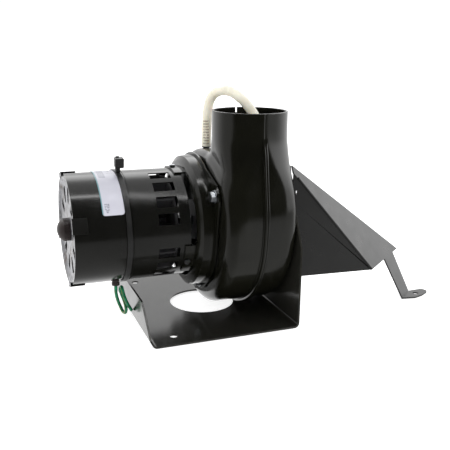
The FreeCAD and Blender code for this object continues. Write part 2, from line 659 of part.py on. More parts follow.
def side_shield():
    """Folded guard beside the inlet: web, sloping wing, strap and foot."""
    x = BASE_X1 + TOUCH
    along = SHIELD_TIP.sub(SHIELD_TOP)
    along.normalize()
    up = V(-along.z, 0, along.x)
    bend = math.radians(SHIELD_BEND_DEG)
    rise = up * math.cos(bend) + V(0, 1, 0) * math.sin(bend)
    normal = along.cross(rise)
    normal.normalize()

    def wing_point(s, w):
        return SHIELD_TOP.add(along * s + rise * w)

    inner_x = BASE_X1 - 1.6
    web = plane_prism([wing_point(-3.0, 0), SHIELD_TIP, V(x, SHIELD_Y, 34.8),
                       V(x, SHIELD_Y, 93.6), V(inner_x, SHIELD_Y, 93.6)], V(0, SHIELD_T, 0))
    eye = Part.makeCylinder(1.6, 10, V(inner_x + 2.3, SHIELD_Y - 5, 101.0), V(0, 1, 0))
    web = web.cut(eye)
    flap = plane_prism([V(x, SHIELD_Y, 34.8), V(x, SHIELD_Y, 111.0), V(x, FLAP_EDGE_Y, 104.0),
                        V(x, FLAP_EDGE_Y, 34.8)], V(SHIELD_T, 0, 0))
    for z in SHIELD_SCREW_Z:
        flap = flap.cut(disc(x - 2, x + 5, 2.1, SHIELD_SCREW_Y, z))
    length = SHIELD_TIP.sub(SHIELD_TOP).Length
    wing = plane_prism([wing_point(-3.0, 0), wing_point(-6.4, 5.4), wing_point(145.2, 61.0),
                        wing_point(length, 0)], normal * -SHIELD_T)
    strap = plane_prism([wing_point(137.2, 50.5), wing_point(125.5, 29.5),
                         wing_point(158.6, 9.3), wing_point(168.6, 26.2)], normal * -SHIELD_T)
    roll = Part.makeCylinder(SHIELD_T * 0.9, length - 3.5, wing_point(2.6, 0.2), along)
    tip = Part.Arc(V(190.5, -36.2, 0), V(193.2, -40.2, 0), V(190.0, -44.8, 0)).toShape()
    outline = [V(162.3, -49.2, 0), V(177.2, -36.8, 0), V(190.5, -36.2, 0), V(190.0, -44.8, 0),
               V(184.0, -48.4, 0), V(174.6, -51.4, 0)]
    edges = [Part.makeLine(outline[0], outline[1]), Part.makeLine(outline[1], outline[2]), tip,
             Part.makeLine(outline[3], outline[4]), Part.makeLine(outline[4], outline[5]),
             Part.makeLine(outline[5], outline[0])]
    foot = Part.Face(Part.Wire(edges)).extrude(V(0, 0, SHIELD_T))
    foot = foot.cut(Part.makeCylinder(FOOT_HOLE_R, 10, FOOT_HOLE.add(V(0, 0, -5))))
    body = web.fuse([flap, wing, strap, roll, foot]).removeSplitter()
    ground = block(-100, 400, -300, 300, -30, 0)
    return body.cut(ground)


def shield_screws():
    heads = []
    for z in SHIELD_SCREW_Z:
        spot = V(BASE_X1 + 2 * TOUCH + SHIELD_T, SHIELD_SCREW_Y, z)
        heads.append(hex_screw(spot, V(1, 0, 0), 6.3, 2.6, 4.0, 1.9, 2.7))
    return Part.makeCompound(heads)


# ---- write every sub-part ----------------------------------------------------------------
left_half, right_half = housing_halves()
PARTS = {
    "base_bracket": base_bracket(),
    "housing_left_half": left_half,
    "housing_right_half": right_half,
    "inlet_ring": inlet_ring(),
    "inlet_screws": inlet_screws(),
    "shaft_seal": shaft_seal(),
    "adapter_plate": adapter_plate(),
    "adapter_screws": adapter_screws(),
    "tab_screws": tab_screws(),
    "motor_shell": motor_shell(),
    "rear_end_shield": rear_end_shield(),
    "rear_bearing": rear_bearing(),
    "bearing_cap": bearing_cap(),
    "front_bearing_bracket": front_bearing_bracket(),
    "front_bearing": front_bearing(),
    "stator_core": stator_core(),
    "stator_windings": stator_windings(),
    "shaft": shaft(),
    "rotor_core": rotor_core(),
    "rotor_end_rings": rotor_end_rings(),
    "cooling_fan": cooling_fan(),
    "zip_tie": zip_tie(),
    "rating_label": rating_label(),
    "lead_grommet": lead_grommet(),
    "ground_wire": cord("ground_wire", GROUND_ROUTE, GROUND_R),
    "hose_barb": hose_barb(),
    "pressure_hose": cord("pressure_hose", HOSE_ROUTE, HOSE_R),
    "wheel_hub": wheel_hub(),
    "wheel_set_screw": wheel_set_screw(),
    "wheel_backplate": wheel_backplate(),
    "wheel_blades": wheel_blades(),
    "side_shield": side_shield(),
    "shield_screws": shield_screws(),
}
for part_name, part_shape in PARTS.items():
    save(part_name, part_shape)
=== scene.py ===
import json
import math
from contextlib import contextmanager

import bmesh
import bpy
import numpy as np
from mathutils import Matrix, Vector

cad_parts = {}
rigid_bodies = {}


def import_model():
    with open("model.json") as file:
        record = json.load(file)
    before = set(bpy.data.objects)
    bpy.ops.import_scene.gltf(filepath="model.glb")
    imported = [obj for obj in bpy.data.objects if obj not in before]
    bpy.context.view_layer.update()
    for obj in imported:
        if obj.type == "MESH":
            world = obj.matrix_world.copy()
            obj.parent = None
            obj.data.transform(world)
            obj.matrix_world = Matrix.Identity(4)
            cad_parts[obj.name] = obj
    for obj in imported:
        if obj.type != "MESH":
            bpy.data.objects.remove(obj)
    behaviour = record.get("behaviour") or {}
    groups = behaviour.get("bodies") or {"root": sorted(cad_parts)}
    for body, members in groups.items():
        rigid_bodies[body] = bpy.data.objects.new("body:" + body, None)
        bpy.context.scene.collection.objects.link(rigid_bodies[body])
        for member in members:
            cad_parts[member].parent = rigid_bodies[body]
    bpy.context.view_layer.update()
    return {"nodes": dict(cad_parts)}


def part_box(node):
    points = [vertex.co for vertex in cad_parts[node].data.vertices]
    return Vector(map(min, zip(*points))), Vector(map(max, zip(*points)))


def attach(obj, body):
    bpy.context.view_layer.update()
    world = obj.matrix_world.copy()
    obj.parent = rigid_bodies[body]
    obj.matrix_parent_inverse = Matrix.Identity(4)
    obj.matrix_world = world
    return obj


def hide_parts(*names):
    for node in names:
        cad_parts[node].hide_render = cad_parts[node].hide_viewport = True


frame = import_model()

# Looks of the combustion fan. Lengths are in metres; MM turns millimetres into metres.
MM = 0.001
NODES = frame["nodes"]

# ---- places read from the frame ------------------------------------------------------------
SHELL_LO, SHELL_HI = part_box("motor_shell")
AXIS_Z = (SHELL_LO.z + SHELL_HI.z) / 2
SHELL_R = (SHELL_HI.z - SHELL_LO.z) / 2
LEFT_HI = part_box("housing_left_half")[1]
RIGHT_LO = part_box("housing_right_half")[0]
SEAM_X = (LEFT_HI.x + RIGHT_LO.x) / 2
NECK_TOP = LEFT_HI.z
HOSE_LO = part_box("pressure_hose")[0]
LABEL_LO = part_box("rating_label")[0]

# ---- sheet and seam sizes ------------------------------------------------------------------
SHEET = 1.5 * MM
NOTCH_HALF = 0.8 * MM      # half width of the notch where the two halves meet at the rim
NOTCH_DEEP = 4.0 * MM
SHAFT_EYE_R = 12.0 * MM    # openings in the housing's two flat walls
INLET_EYE_R = 28.6 * MM


# ---- materials -----------------------------------------------------------------------------
class Nodes:
    """A material's node tree with short calls for the nodes used below."""

    def __init__(self, name):
        self.material = bpy.data.materials.new(name)
        self.material.use_nodes = True
        self.tree = self.material.node_tree
        self.shader = self.tree.nodes["Principled BSDF"]
        self.coords = self.tree.nodes.new("ShaderNodeTexCoord")

    def link(self, source, target):
        self.tree.links.new(source, target)

    def noise(self, scale, detail=3.0, rough=0.5, stretch=None):
        node = self.tree.nodes.new("ShaderNodeTexNoise")
        node.inputs["Scale"].default_value = scale
        node.inputs["Detail"].default_value = detail
        node.inputs["Roughness"].default_value = rough
        if stretch:
            mapping = self.tree.nodes.new("ShaderNodeMapping")
            mapping.inputs["Scale"].default_value = stretch
            self.link(self.coords.outputs["Object"], mapping.inputs["Vector"])
            self.link(mapping.outputs["Vector"], node.inputs["Vector"])
        else:
            self.link(self.coords.outputs["Object"], node.inputs["Vector"])
        return node.outputs["Fac"]

    def span(self, value, low, high, start=0.3, end=0.7):
        node = self.tree.nodes.new("ShaderNodeMapRange")
        node.inputs["From Min"].default_value = start
        node.inputs["From Max"].default_value = end
        node.inputs["To Min"].default_value = low
        node.inputs["To Max"].default_value = high
        self.link(value, node.inputs["Value"])
        return node.outputs["Result"]

    def ramp(self, value, stops):
        node = self.tree.nodes.new("ShaderNodeValToRGB")
        elements = node.color_ramp.elements
        while len(elements) < len(stops):
            elements.new(0.5)
        for element, (position, colour) in zip(elements, stops):
            element.position = position
            element.color = (*colour, 1.0)
        self.link(value, node.inputs["Fac"])
        return node.outputs["Color"]

    def mix(self, factor, first, second):
        node = self.tree.nodes.new("ShaderNodeMix")
        node.data_type = "RGBA"
        self.link(factor, node.inputs["Factor"])
        for value, socket in ((first, node.inputs["A"]), (second, node.inputs["B"])):
            if isinstance(value, tuple):
                socket.default_value = (*value, 1.0)
            else:
                self.link(value, socket)
        return node.outputs["Result"]

    def math(self, operation, first, second=None, third=None):
        node = self.tree.nodes.new("ShaderNodeMath")
        node.operation = operation
        for i, value in enumerate((first, second, third)):
            if value is None:
                continue
            if isinstance(value, (int, float)):
                node.inputs[i].default_value = value
            else:
                self.link(value, node.inputs[i])
        return node.outputs["Value"]

    def xyz(self, socket=None):
        node = self.tree.nodes.new("ShaderNodeSeparateXYZ")
        self.link(socket or self.coords.outputs["Object"], node.inputs["Vector"])
        return node.outputs["X"], node.outputs["Y"], node.outputs["Z"]

    def bump(self, height, strength, distance):
        node = self.tree.nodes.new("ShaderNodeBump")
        node.inputs["Strength"].default_value = strength
        node.inputs["Distance"].default_value = distance
        self.link(height, node.inputs["Height"])
        self.link(node.outputs["Normal"], self.shader.inputs["Normal"])

    def set(self, **values):
        for name, value in values.items():
            socket = self.shader.inputs[name.replace("_", " ")]
            socket.default_value = (*value, 1.0) if isinstance(value, tuple) else value


def enamel(name, dark, light, rough_low, rough_high, peel):
    """Baked black paint: nearly black, a soft cloudiness in gloss and a fine orange peel."""
    m = Nodes(name)
    cloud = m.noise(38.0, 4.0, 0.6)
    m.link(m.ramp(cloud, [(0.3, dark), (0.7, light)]), m.shader.inputs["Base Color"])
    m.link(m.span(m.noise(90.0, 5.0), rough_low, rough_high), m.shader.inputs["Roughness"])
    m.bump(m.noise(900.0, 2.0), peel, 0.0004)
    m.set(Specular_IOR_Level=0.5)
    return m.material


def metal(name, dark, light, rough_low, rough_high, scale=160.0, stretch=None, bump=0.08):
    """Bare or plated metal with spangle or brushing."""
    m = Nodes(name)
    grain = m.noise(scale, 5.0, 0.6, stretch)
    m.link(m.ramp(grain, [(0.32, dark), (0.68, light)]), m.shader.inputs["Base Color"])
    m.link(m.span(m.noise(scale * 2.3, 4.0, 0.5, stretch), rough_low, rough_high),
           m.shader.inputs["Roughness"])
    m.bump(grain, bump, 0.0003)
    m.set(Metallic=1.0)
    return m.material


def moulded(name, dark, light, rough_low, rough_high, scale=400.0, bump=0.15):
    """Plastic or rubber with a fine moulded grain."""
    m = Nodes(name)
    m.link(m.ramp(m.noise(60.0, 4.0), [(0.3, dark), (0.7, light)]),
           m.shader.inputs["Base Color"])
    m.link(m.span(m.noise(120.0, 3.0), rough_low, rough_high), m.shader.inputs["Roughness"])
    m.bump(m.noise(scale, 3.0), bump, 0.0003)
    return m.material


def copper(name):
    """Varnished wire wound in fine turns."""
    m = Nodes(name)
    x, _, z = m.xyz()
    across = m.math("ADD", x, m.math("MULTIPLY", z, 0.3))
    turns = m.math("SINE", m.math("MULTIPLY", across, 5200.0))
    m.link(m.ramp(m.math("MULTIPLY_ADD", turns, 0.5, 0.5),
                  [(0.0, (0.10, 0.03, 0.012)), (1.0, (0.42, 0.17, 0.06))]),
           m.shader.inputs["Base Color"])
    m.bump(turns, 0.5, 0.0003)
    m.set(Roughness=0.35, Coat_Weight=0.4)
    return m.material


def laminations(name):
    """Stacked sheet edges, seen as fine lines across the axis."""
    m = Nodes(name)
    x, _, _ = m.xyz()
    lines = m.math("SINE", m.math("MULTIPLY", x, 12500.0))
    rust = m.noise(140.0, 4.0)
    m.link(m.ramp(rust, [(0.35, (0.12, 0.12, 0.125)), (0.75, (0.24, 0.22, 0.2))]),
           m.shader.inputs["Base Color"])
    m.bump(lines, 0.4, 0.0002)
    m.set(Metallic=0.8, Roughness=0.5)
    return m.material


def vinyl(name):
    """Milky hose with a faint broken row of generic ink ticks on its straight run."""
    m = Nodes(name)
    x, y, z = m.xyz()
    body = m.ramp(m.noise(70.0, 3.0), [(0.3, (0.80, 0.76, 0.62)), (0.7, (0.90, 0.87, 0.75))])
    rows = m.math("GREATER_THAN", m.math("SINE", m.math("MULTIPLY", z, 2900.0)), -0.1)
    ragged = m.math("GREATER_THAN", m.noise(1100.0, 2.0), 0.42)
    ink_middle, ink_half, ink_depth = 2.85 * MM, 2.3 * MM, 11.5 * MM
    low = m.math("GREATER_THAN", z, HOSE_LO.z + 1.5 * MM)
    high = m.math("LESS_THAN", z, HOSE_LO.z + 21.5 * MM)
    across = m.math("MULTIPLY_ADD", x, 0.933, m.math("MULTIPLY", y, -0.3595))
    offset = m.math("SUBTRACT", across, ink_middle)
    near = m.math("LESS_THAN", m.math("ABSOLUTE", offset), ink_half)
    front = m.math("LESS_THAN", m.math("MULTIPLY_ADD", x, 0.3595,
                                       m.math("MULTIPLY", y, 0.933)), ink_depth)
    mask = rows
    for part in (ragged, low, high, near, front):
        mask = m.math("MULTIPLY", mask, part)
    mask = m.math("MULTIPLY", mask, 0.62)
    m.link(m.mix(mask, body, (0.16, 0.10, 0.07)), m.shader.inputs["Base Color"])
    m.link(m.span(m.noise(200.0, 3.0), 0.22, 0.36), m.shader.inputs["Roughness"])
    m.bump(m.noise(260.0, 2.0), 0.1, 0.0004)
    m.set(Subsurface_Weight=0.35, Subsurface_Scale=0.004, Coat_Weight=0.2)
    m.shader.inputs["Subsurface Radius"].default_value = (1.0, 0.85, 0.6)
    return m.material


def earth_wire(name):
    """Green insulation, yellow in broken patches on the side whose normal faces left (-x)."""
    m = Nodes(name)
    geometry = m.tree.nodes.new("ShaderNodeNewGeometry")
    nx, ny, _ = m.xyz(geometry.outputs["Normal"])
    side = m.math("ADD", m.math("MULTIPLY", nx, -0.96), m.math("MULTIPLY", ny, -0.28))
    # Yellow goes on whichever side of the wire faces left (-x) in the world, in broken patches.
    left_facing_yellow = m.math("MULTIPLY", m.math("GREATER_THAN", side, 0.86),
                    m.math("GREATER_THAN", m.noise(120.0, 2.0), 0.42))
    green = m.ramp(m.noise(300.0, 3.0),
                   [(0.3, (0.004, 0.085, 0.034)), (0.7, (0.006, 0.22, 0.092))])
    m.link(m.mix(left_facing_yellow, green, (0.10, 0.17, 0.008)), m.shader.inputs["Base Color"])
    m.bump(m.noise(700.0, 2.0), 0.08, 0.0002)
    m.set(Roughness=0.3, Coat_Weight=0.2)
    return m.material


def label_paper(name):
    """Pale label with a teal edge and faint rows of meaningless ticks."""
    m = Nodes(name)
    x, y, z = m.xyz()
    angle = m.math("ARCTAN2", m.math("SUBTRACT", z, AXIS_Z), m.math("MULTIPLY", y, -1.0))
    along = m.math("MULTIPLY", angle, SHELL_R)

    def window(value, low, high):
        return m.math("MULTIPLY", m.math("GREATER_THAN", value, low),
                      m.math("LESS_THAN", value, high))

    def block(x_low, x_high, deg_low, deg_high):
        return m.math("MULTIPLY", window(x, LABEL_LO.x + x_low * MM, LABEL_LO.x + x_high * MM),
                      window(angle, math.radians(deg_low), math.radians(deg_high)))

    lines = m.math("GREATER_THAN", m.math("SINE", m.math("MULTIPLY", along, 5200.0)), -0.2)
    speck = m.math("GREATER_THAN", m.noise(900.0, 2.0, 0.5, (1.0, 0.6, 0.6)), 0.5)
    bars = m.math("MULTIPLY", m.math("MULTIPLY", block(2.6, 7.4, 72.0, 101.0), lines), 0.75)
    marks = m.math("ADD", m.math("MULTIPLY", block(9.4, 13.6, 80.0, 106.0), 0.6),
                   m.math("MULTIPLY", block(2.2, 5.6, 27.5, 37.5), 0.95))
    marks = m.math("MULTIPLY", m.math("MULTIPLY", marks, speck), lines)
    mask = m.math("MAXIMUM", bars, marks)
    paper = m.ramp(m.noise(45.0, 3.0), [(0.3, (0.50, 0.50, 0.57)), (0.7, (0.60, 0.60, 0.67))])
    printed = m.mix(mask, paper, (0.14, 0.15, 0.20))
    edge = m.math("LESS_THAN", x, LABEL_LO.x + 0.8 * MM)
    m.link(m.mix(edge, printed, (0.13, 0.28, 0.31)), m.shader.inputs["Base Color"])
    m.link(m.span(m.noise(150.0, 3.0), 0.28, 0.4), m.shader.inputs["Roughness"])
    m.bump(m.noise(500.0, 2.0), 0.05, 0.0002)
    return m.material


def end_shield_steel(name):
    """Pale stamped steel with random brown patches painted as the shade seen through vent
    openings; the folded tabs carry the motor's paint.
    """
    m = Nodes(name)
    _, y, z = m.xyz()
    dz = m.math("SUBTRACT", z, AXIS_Z)
    radius = m.math("SQRT", m.math("ADD", m.math("MULTIPLY", y, y), m.math("MULTIPLY", dz, dz)))
    painted = m.math("GREATER_THAN", radius, SHELL_R - 0.7 * MM)
    bare = m.ramp(m.noise(150.0, 5.0, 0.6),
                  [(0.36, (0.15, 0.15, 0.155)), (0.62, (0.34, 0.345, 0.37))])
    # Painted shade: brown patches scattered at random that stand in for the dark vent openings.
    vent_shade = m.span(m.noise(75.0, 4.0, 0.6), 0.0, 0.9, 0.52, 0.64)
    bare = m.mix(vent_shade, bare, (0.07, 0.045, 0.03))
    m.link(m.mix(painted, bare, (0.006, 0.006, 0.005)), m.shader.inputs["Base Color"])
    m.link(m.math("SUBTRACT", 1.0, painted), m.shader.inputs["Metallic"])
    m.link(m.span(m.noise(220.0, 4.0), 0.26, 0.42), m.shader.inputs["Roughness"])
    m.bump(m.noise(300.0, 3.0), 0.06, 0.0003)
    return m.material


ENAMEL = enamel("gloss_black_enamel", (0.0045, 0.0045, 0.0030), (0.0065, 0.0065, 0.0042),
                0.14, 0.21, 0.02)
# The bracket wears the housing's black enamel lightened about threefold: painted fill light
# that lifts its shaded pocket under the housing.
FILL_LIT_BRACKET = enamel("bracket_enamel", (0.0150, 0.0148, 0.0122), (0.0210, 0.0206, 0.0172),
                 0.13, 0.21, 0.02)
SATIN = enamel("satin_shield_enamel", (0.0060, 0.0060, 0.0056), (0.0090, 0.0090, 0.0085),
               0.26, 0.34, 0.05)
MOTOR = enamel("motor_black_paint", (0.0050, 0.0050, 0.0042), (0.0075, 0.0075, 0.0065),
               0.15, 0.22, 0.02)
GALVANISED = metal("galvanised_steel", (0.42, 0.43, 0.45), (0.62, 0.63, 0.64), 0.28, 0.45)
ZINC = metal("zinc_screws", (0.34, 0.36, 0.38), (0.54, 0.56, 0.58), 0.22, 0.38, 300.0)
PALE_STEEL = end_shield_steel("pale_stamped_steel")
GROUND = metal("ground_steel", (0.55, 0.56, 0.58), (0.72, 0.73, 0.75), 0.12, 0.22, 200.0,
               (0.2, 4.0, 4.0))
ALUMINIUM = metal("cast_aluminium", (0.5, 0.51, 0.52), (0.7, 0.71, 0.72), 0.35, 0.55, 220.0)
BRONZE = metal("bronze_bearing", (0.35, 0.22, 0.09), (0.5, 0.34, 0.15), 0.3, 0.5, 400.0)
RUBBER = moulded("black_rubber", (0.016, 0.010, 0.009), (0.032, 0.022, 0.020), 0.38, 0.52)
NYLON = moulded("black_nylon", (0.008, 0.008, 0.008), (0.016, 0.016, 0.016), 0.26, 0.36)
MOULDED = moulded("moulded_plastic", (0.03, 0.03, 0.032), (0.05, 0.05, 0.053), 0.35, 0.5)
GRAPHITE = moulded("graphite_seal", (0.03, 0.03, 0.032), (0.06, 0.06, 0.062), 0.45, 0.6)
COPPER = copper("enamelled_copper")
LAMINATED = laminations("laminated_steel")
VINYL = vinyl("cream_vinyl")
EARTH = earth_wire("green_yellow_insulation")
LABEL = label_paper("label_paper")

CAD_LOOKS = {
    "shaft_seal": GRAPHITE, "rear_bearing": BRONZE, "front_bearing": BRONZE,
    "front_bearing_bracket": GALVANISED, "stator_core": LAMINATED,
    "stator_windings": COPPER, "shaft": GROUND, "rotor_core": LAMINATED,
    "rotor_end_rings": ALUMINIUM, "cooling_fan": MOULDED, "wheel_hub": GALVANISED,
    "wheel_set_screw": ZINC, "wheel_backplate": GALVANISED, "wheel_blades": GALVANISED,
    "inlet_ring": GALVANISED, "inlet_screws": ZINC, "adapter_plate": ENAMEL,
    "adapter_screws": ZINC, "tab_screws": ZINC, "shield_screws": ZINC,
    "motor_shell": MOTOR, "rear_end_shield": PALE_STEEL, "bearing_cap": RUBBER,
    "zip_tie": NYLON, "rating_label": LABEL, "lead_grommet": RUBBER, "hose_barb": MOULDED,
    "base_bracket": FILL_LIT_BRACKET, "side_shield": SATIN,
}


# ---- mesh helpers --------------------------------------------------------------------------
@contextmanager
def editing(mesh):
    """The mesh as an editable one, written back at the end."""
    work = bmesh.new()
    work.from_mesh(mesh)
    yield work
    work.to_mesh(mesh)
    work.free()


def split(work, place, normal, drop_front=False):
    """Cut all faces along a plane, and drop what is in front of it if asked."""
    bmesh.ops.bisect_plane(work, geom=work.verts[:] + work.edges[:] + work.faces[:],
                           dist=1e-6, plane_co=place, plane_no=normal,
                           clear_outer=drop_front)


def body_of_node(node):
    return NODES[node].parent.name.split(":", 1)[1]


def add_piece(name, mesh, material, body):
    mesh.materials.clear()
    mesh.materials.append(material)
    piece = bpy.data.objects.new(name, mesh)
    bpy.context.scene.collection.objects.link(piece)
    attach(piece, body)
    return piece


def refine(node, material, bevel):
    """A welded copy of a CAD node with smooth shading and broken edges."""
    smooth_angle, bevel_angle = math.radians(34.0), math.radians(40.0)
    source = NODES[node].data
    points = np.zeros(len(source.vertices) * 3)
    source.vertices.foreach_get("co", points)
    faces = [tuple(p.vertices) for p in source.polygons]
    mesh = bpy.data.meshes.new(node + "_look")
    mesh.from_pydata(points.reshape(-1, 3).tolist(), [], faces)
    with editing(mesh) as weld:
        bmesh.ops.remove_doubles(weld, verts=weld.verts, dist=2e-6)
        bmesh.ops.dissolve_limit(weld, angle_limit=math.radians(0.4), verts=weld.verts,
                                 edges=weld.edges)
        bmesh.ops.recalc_face_normals(weld, faces=weld.faces)
    piece = add_piece(node + "_look", mesh, material, body_of_node(node))
    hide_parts(node)
    mesh.shade_smooth()
    mesh.set_sharp_from_angle(angle=smooth_angle)
    if bevel:
        edge = piece.modifiers.new("edge", "BEVEL")
        edge.width = bevel
        edge.segments = 2
        edge.limit_method = "ANGLE"
        edge.angle_limit = bevel_angle
        edge.harden_normals = True
        edge.use_clamp_overlap = True


# ---- camera --------------------------------------------------------------------------------
# The photograph's view: about 21 degrees round to the left and 15 degrees above level.
def make_camera():
    data = bpy.data.cameras.new("camera")
    data.sensor_width = 36.0
    data.lens = 53.41
    camera = bpy.data.objects.new("camera", data)
    heading, pitch, roll = math.radians(21.071), math.radians(15.139), math.radians(0.768)
    turn = (Matrix.Rotation(-heading, 4, "Z") @ Matrix.Rotation(math.pi / 2 - pitch, 4, "X")
            @ Matrix.Rotation(roll, 4, "Z"))
    camera.matrix_world = Matrix.Translation((-0.16868, -0.48979, 0.20623)) @ turn
    bpy.context.scene.collection.objects.link(camera)
    bpy.context.scene.camera = camera


# ---- cords ---------------------------------------------------------------------------------
# The same route points as the part's source, in metres.
HOSE_ROUTE = [
    (0.0070, 0.0102, 0.1280), (0.0071, 0.0102, 0.1430), (0.0077, 0.0093, 0.1600),
    (0.0107, 0.0033, 0.1705), (0.0172, -0.0089, 0.1732), (0.0238, -0.0210, 0.1679),
    (0.0287, -0.0290, 0.1594), (0.0327, -0.0345, 0.1500),
]
GROUND_ROUTE = [
    (-0.0738, -0.0140, 0.0286), (-0.0738, -0.0132, 0.0240), (-0.0729, -0.0110, 0.0184),
    (-0.0712, -0.0089, 0.0128), (-0.0694, -0.0076, 0.0080), (-0.0680, -0.0096, 0.0042),
    (-0.0668, -0.0138, 0.0044), (-0.0666, -0.0162, 0.0086), (-0.0676, -0.0158, 0.0146),
    (-0.0694, -0.0140, 0.0202), (-0.0705, -0.0124, 0.0250), (-0.0696, -0.0156, 0.0276),
    (-0.0699, -0.0197, 0.0260), (-0.0688, -0.0206, 0.0204), (-0.0660, -0.0190, 0.0134),
    (-0.0628, -0.0166, 0.0076),
]


def cord(name, route, radius, material, node):
    curve = bpy.data.curves.new(name, "CURVE")
    curve.dimensions = "3D"
    curve.bevel_depth = radius
    curve.bevel_resolution = 8
    curve.resolution_u = 24
    curve.use_fill_caps = True
    spline = curve.splines.new("NURBS")
    spline.points.add(len(route) - 1)
    for point, place in zip(spline.points, route):
        point.co = (*place, 1.0)
    spline.order_u = 3
    spline.use_endpoint_u = True
    curve.materials.append(material)
    piece = bpy.data.objects.new(name, curve)
    bpy.context.scene.collection.objects.link(piece)
    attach(piece, body_of_node(node))
    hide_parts(node)
    return piece


def make_cords():
    hose = cord("hose", HOSE_ROUTE, 3.75 * MM, VINYL,
                "pressure_hose")
    wire = cord("earth_lead", GROUND_ROUTE, 1.25 * MM, EARTH,
                "ground_wire")


# ---- blower housing ------------------------------------------------------------------------
def smooth_step(value):
    value = np.clip(value, 0.0, 1.0)
    return value * value * (3.0 - 2.0 * value)


class Housing:
    """The snail and its neck as one smooth field, in millimetres round the motor axis.

    Points are (x, y, z) in the row frame. The field is negative inside the outer skin.
    """

    r90 = 55.3
    growth = 0.0565
    start = 96.0
    rim = 8.5
    neck_r = 27.9
    neck_y = -35.8
    round_z = 142.0

    def __init__(self):
        self.x0 = -4.6
        self.x1 = 51.2
        self.mid = (self.x0 + self.x1) / 2
        self.half = (self.x1 - self.x0) / 2
        self.seam = SEAM_X / MM
        self.axis_z = AXIS_Z / MM
        self.top = NECK_TOP / MM

    def spiral(self, deg):
        """Outside radius of the snail; under the neck it closes back to the tongue."""
        turned = np.mod(deg - 14.0, 360.0) + 14.0
        grown = self.r90 + self.growth * (turned - 90.0)
        closing = smooth_step((turned - 14.0) / (self.start - 14.0))
        throat = (self.r90 + self.growth * 284.0) * (1 - closing) + (self.r90 + 0.4) * closing
        return np.where(turned < self.start, throat, grown)

    def snail(self, x, y, z):
        dz = z - self.axis_z
        rho = np.hypot(y, dz)
        deg = np.degrees(np.arctan2(dz, -y))
        flat = (rho - self.spiral(deg)) * 0.985 + self.rim
        side = np.abs(x - self.mid) - self.half + self.rim
        outside = np.hypot(np.maximum(flat, 0.0), np.maximum(side, 0.0))
        return outside + np.minimum(np.maximum(flat, side), 0.0) - self.rim

    def neck(self, x, y, z):
        up = smooth_step((z - 100.0) / (self.round_z - 100.0))
        lean = smooth_step((150.0 - z) / 66.0)
        front = self.neck_y - self.neck_r - 6.4 * lean + 6.0 * smooth_step((92.0 - z) / 34.0)
        back = self.neck_y + self.neck_r + 1.5 * smooth_step((132.0 - z) / 20.0)
        narrow = 1.2 * smooth_step((136.0 - z) / 18.0)
        half_x = self.neck_r - narrow
        half_y = (back - front) / 2
        middle = (back + front) / 2
        corner = 12.0 + (self.neck_r - 12.0) * up
        corner = np.minimum(corner, np.minimum(half_x, half_y) - 0.01)
        dx = np.abs(x - self.seam) - half_x + corner
        dy = np.abs(y - middle) - half_y + corner
        outside = np.hypot(np.maximum(dx, 0.0), np.maximum(dy, 0.0))
        section = outside + np.minimum(np.maximum(dx, dy), 0.0) - corner
        return np.maximum(section * 0.99, 58.0 - z)

    def field(self, x, y, z):
        first, second = self.snail(x, y, z), self.neck(x, y, z)
        blend = 5.5
        near = np.maximum(blend - np.abs(first - second), 0.0) / blend
        return np.minimum(first, second) - near * near * blend / 4

    def pull(self, points, rounds=4):
        """Move points onto the skin along the field's slope."""
        step = 0.05
        for _ in range(rounds):
            x, y, z = points.T
            here = self.field(x, y, z)
            slope = np.stack([
                self.field(x + step, y, z) - self.field(x - step, y, z),
                self.field(x, y + step, z) - self.field(x, y - step, z),
                self.field(x, y, z + step) - self.field(x, y, z - step),
            ], axis=1) / (2 * step)
            size = np.maximum((slope ** 2).sum(1), 0.2)
            points = points - slope * (here / size)[:, None]
        return points

    def outline(self, deg):
        """Radius of the skin in the seam plane at an angle round the axis."""
        a = math.radians(deg)
        low, high = 40.0, 130.0
        for _ in range(40):
            r = (low + high) / 2
            value = self.field(np.array(self.seam), np.array(-r * math.cos(a)),
                               np.array(self.axis_z + r * math.sin(a)))
            if value < 0:
                low = r
            else:
                high = r
        return (low + high) / 2


def surface_net(field, low, high, cell):
    """A quad mesh of a field's zero level: one point per crossed cell."""
    axes = [np.arange(a, b + cell, cell) for a, b in zip(low, high)]
    grid = np.meshgrid(*axes, indexing="ij")
    inside = field(*grid) < 0
    counts = sum(inside[i:inside.shape[0] - 1 + i, j:inside.shape[1] - 1 + j,
                        k:inside.shape[2] - 1 + k].astype(int)
                 for i in (0, 1) for j in (0, 1) for k in (0, 1))
    crossed = (counts > 0) & (counts < 8)
    index = np.full(crossed.shape, -1)
    index[crossed] = np.arange(crossed.sum())
    cells = np.argwhere(crossed)
    points = np.array(low) + (cells + 0.5) * cell
    quads = []
    for axis in range(3):
        first, second = [a for a in range(3) if a != axis]
        one = np.take(inside, range(inside.shape[axis] - 1), axis)
        two = np.take(inside, range(1, inside.shape[axis]), axis)
        for sign, where in ((1, one & ~two), (-1, ~one & two)):
            spots = np.argwhere(where)
            keep = (spots[:, first] > 0) & (spots[:, second] > 0)
            for bound in (first, second):
                keep &= spots[:, bound] < crossed.shape[bound]
            spots = spots[keep]
            ring = []
            for da, db in ((0, 0), (-1, 0), (-1, -1), (0, -1)):
                at = spots.copy()
                at[:, first] += da
                at[:, second] += db
                ring.append(index[tuple(at.T)])
            ring = np.stack(ring, axis=1)
            flip = (sign == 1) == (axis != 1)
            quads.append(ring if flip else ring[:, ::-1])
    quads = np.concatenate(quads)
    return points, quads[(quads >= 0).all(1)]


